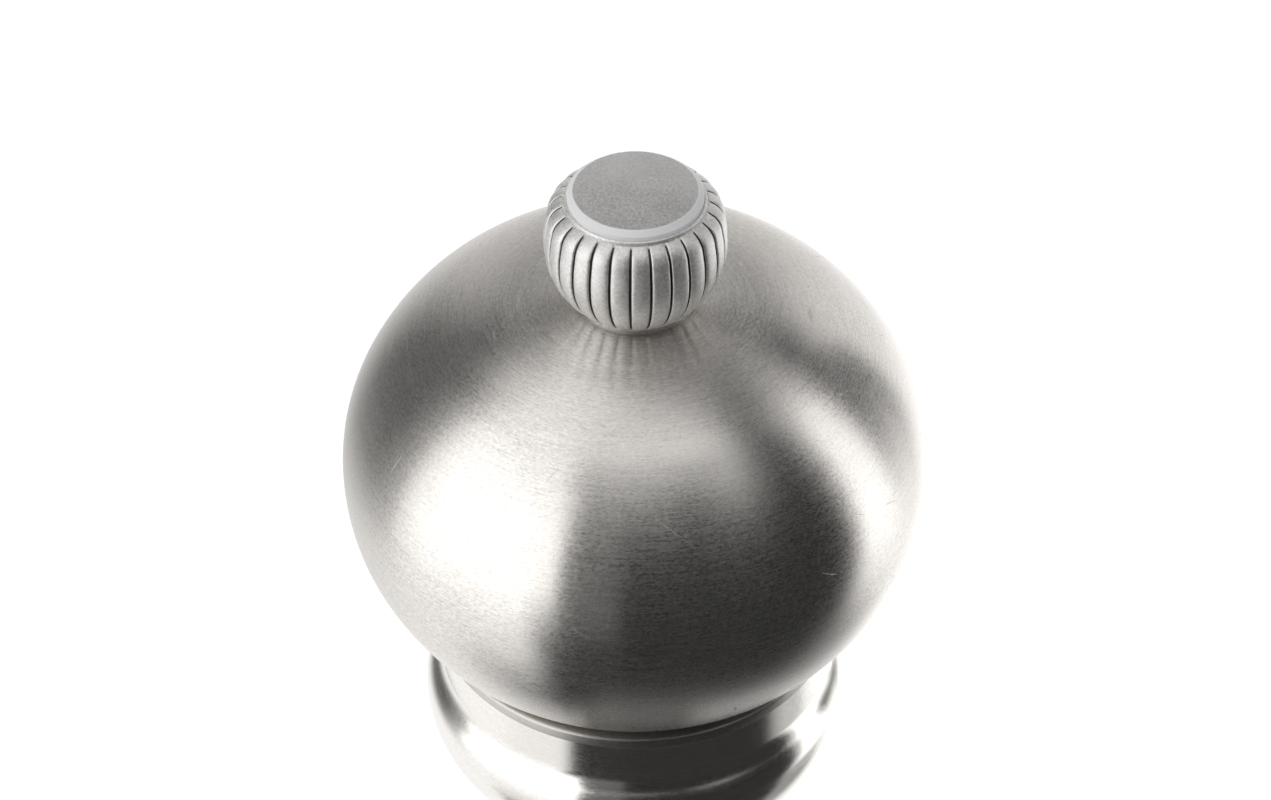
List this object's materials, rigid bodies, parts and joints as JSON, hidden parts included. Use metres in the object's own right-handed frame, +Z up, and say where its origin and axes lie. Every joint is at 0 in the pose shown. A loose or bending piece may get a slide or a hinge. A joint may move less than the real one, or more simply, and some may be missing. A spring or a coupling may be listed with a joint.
{
  "type": "salt mill",
  "caption": "Table salt mill: turned steel body, twist head with a fluted knob, burr mechanism at the base and a ring that sets the grind.",
  "frame": {"origin": "centre of the foot's underside, on the table", "axes": "+Z up along the mill's axis, through the drive shaft to the knob; +X through the first cam lug"},
  "size_m": [0.065, 0.065, 0.222],
  "materials": {
    "brushed_shell": "fine brushing around the turned shape",
    "bright_rim": "polished steel",
    "cast_knob": "satin cast metal with dark grooves",
    "satin_cap": "satin face with a polished bevel",
    "shaft_steel": "drawn bar",
    "burr_steel": "sintered, matt",
    "screw_steel": "plain stainless",
    "spring_steel": "spring wire",
    "moulded_black": "moulded, fine matt",
    "slip_plastic": "smooth bearing plastic",
    "clear_liner": "pale food-safe plastic"
  },
  "bodies": {
    "body": {"body_shell": "brushed_shell", "mouth_ring": "bright_rim", "glide_ring": "slip_plastic", "hopper_liner": "clear_liner", "mechanism_housing": "moulded_black", "bridge": "moulded_black", "foot_ring": "moulded_black", "foot_screws": "screw_steel", "index_spring": "spring_steel", "carrier_spring": "spring_steel"},
    "stator": {"stator": "burr_steel", "stator_carrier": "moulded_black"},
    "selector": {"grip_ring": "brushed_shell", "cam_ring": "moulded_black"},
    "drive": {"drive_shaft": "shaft_steel", "rotor": "burr_steel", "rotor_washer": "screw_steel", "rotor_nut": "screw_steel", "spacer_sleeve": "slip_plastic", "shaft_collar": "slip_plastic", "shaft_clip": "spring_steel"},
    "head": {"head_shell": "brushed_shell", "head_core": "moulded_black", "drive_plate": "screw_steel", "drive_plate_screws": "screw_steel", "crown_bush": "slip_plastic"},
    "knob_washer": {"knob_washer": "slip_plastic"},
    "knob": {"knob": "cast_knob", "knob_cap": "satin_cap"}
  },
  "joints": [
    {"name": "head_spin", "type": "hinge", "parent": "body", "child": "drive", "pos_m": [0, 0, 0], "axis": [0, 0, 1], "continuous": true},
    {"name": "head_lift", "type": "slide", "parent": "drive", "child": "head", "axis": [0, 0, 1], "range_m": [0, 0.062]},
    {"name": "washer_rise", "type": "slide", "parent": "head", "child": "knob_washer", "axis": [0, 0, 1], "range_m": [0, 0.0048]},
    {"name": "knob_turn", "type": "hinge", "parent": "knob_washer", "child": "knob", "pos_m": [0, 0, 0.214], "axis": [0, 0, 1], "range_deg": [0, 2160]},
    {"name": "selector_turn", "type": "hinge", "parent": "body", "child": "selector", "pos_m": [0, 0, 0.0075], "axis": [0, 0, -1], "range_deg": [0, 90], "deforming": ["index_spring"]},
    {"name": "stator_rise", "type": "slide", "parent": "body", "child": "stator", "axis": [0, 0, 1], "range_m": [0, 0.0015], "deforming": ["carrier_spring"]}
  ],
  "couplings": [
    {"joint": "washer_rise", "follows": "knob_turn", "m_per_rad": 0.00012732},
    {"joint": "stator_rise", "follows": "selector_turn", "m_per_rad": 0.00095493}
  ]
}
